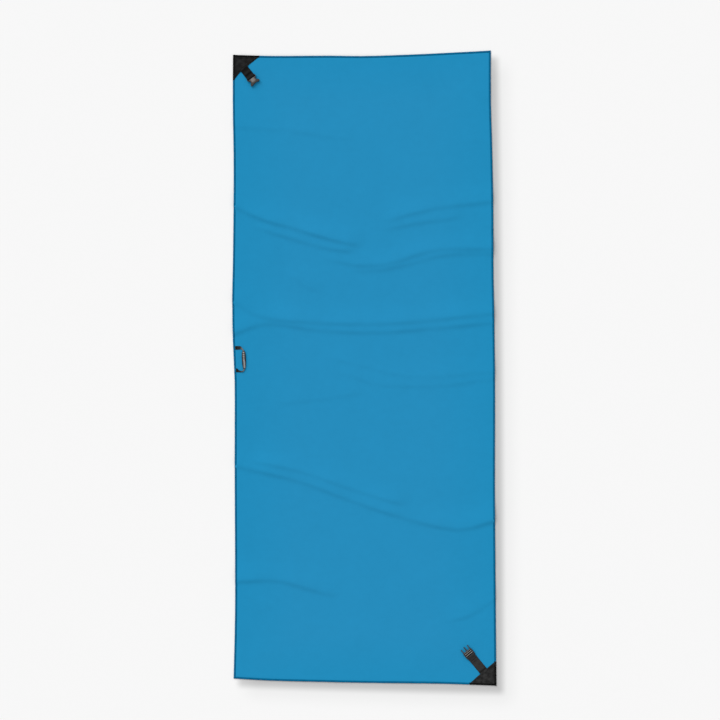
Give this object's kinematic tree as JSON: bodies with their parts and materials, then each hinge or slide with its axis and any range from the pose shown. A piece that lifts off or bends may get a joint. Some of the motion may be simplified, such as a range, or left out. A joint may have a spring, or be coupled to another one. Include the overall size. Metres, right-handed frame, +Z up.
{
  "type": "quick dry towel",
  "caption": "Thin microfibre travel towel laid flat, with black corner panels, webbing straps ending in the halves of a side release buckle, and a hang loop.",
  "frame": {"origin": "middle of the towel's outline, on the surface that the towel lies on", "axes": "+X across the towel's width, +Y along its length towards the buckle socket's end, +Z up from the surface"},
  "size_m": [0.774, 1.8608, 0.0095],
  "materials": {
    "blue_cloth": "brushed microfibre, matt",
    "blue_thread": "overlocked polyester thread",
    "black_thread": "overlocked and bar tacked polyester thread",
    "black_cloth": "plain woven nylon, matt",
    "webbing": "ribbed nylon webbing",
    "label_cloth": "woven label tape",
    "grey_plastic": "moulded acetal, satin"
  },
  "bodies": {
    "towel": {"towel_sheet": "blue_cloth", "hem_top": "blue_thread", "hem_bottom": "blue_thread", "hem_left": "blue_thread", "hem_right": "blue_thread", "upper_corner_edging_cross": "black_thread", "upper_corner_edging_long": "black_thread", "lower_corner_edging_cross": "black_thread", "lower_corner_edging_long": "black_thread", "upper_corner_panel": "black_cloth", "lower_corner_panel": "black_cloth", "upper_strap_root": "webbing", "lower_strap_root": "webbing", "hang_loop_root_upper": "webbing", "hang_loop_root_lower": "webbing", "hang_loop_bartack_upper": "black_thread", "hang_loop_bartack_lower": "black_thread"},
    "upper_strap": {"upper_strap": "webbing", "upper_strap_bartack": "black_thread"},
    "socket": {"buckle_socket": "grey_plastic"},
    "lower_strap": {"lower_strap": "webbing", "lower_strap_bartack": "black_thread"},
    "plug": {"buckle_plug": "grey_plastic", "lower_strap_end": "webbing"},
    "arm_left": {"plug_arm_left": "grey_plastic"},
    "arm_right": {"plug_arm_right": "grey_plastic"},
    "hang_loop": {"hang_loop_tape": "webbing", "hang_loop_label": "label_cloth"}
  },
  "joints": [
    {"name": "upper_strap_fold", "type": "hinge", "parent": "towel", "child": "upper_strap", "pos_m": [-0.3522, 0.8769, 0.0044], "axis": [-0.788, -0.6157, 0], "range_deg": [0, 140]},
    {"name": "socket_tilt", "type": "hinge", "parent": "upper_strap", "child": "socket", "pos_m": [-0.33194, 0.85097, 0.005], "axis": [-0.788, -0.6157, 0], "range_deg": [0, 80]},
    {"name": "lower_strap_fold", "type": "hinge", "parent": "towel", "child": "lower_strap", "pos_m": [0.3493, -0.8878, 0.0044], "axis": [0.7705, 0.6374, 0], "range_deg": [0, 140]},
    {"name": "plug_tilt", "type": "hinge", "parent": "lower_strap", "child": "plug", "pos_m": [0.31176, -0.84242, 0.005], "axis": [0.7705, 0.6374, 0], "range_deg": [0, 80]},
    {"name": "arm_left_squeeze", "type": "hinge", "parent": "plug", "child": "arm_left", "pos_m": [0.29048, -0.83419, 0.0048], "axis": [0, 0, -1], "range_deg": [0, 12], "stiffness_Nm_per_rad": 0.05},
    {"name": "arm_right_squeeze", "type": "hinge", "parent": "plug", "child": "arm_right", "pos_m": [0.30766, -0.81998, 0.0048], "axis": [0, 0, 1], "range_deg": [0, 12], "stiffness_Nm_per_rad": 0.05},
    {"name": "hang_loop_swing", "type": "hinge", "parent": "towel", "child": "hang_loop", "pos_m": [-0.37157, 0.02585, 0.0037], "axis": [0.0436, -0.999, 0], "range_deg": [0, 175]}
  ]
}
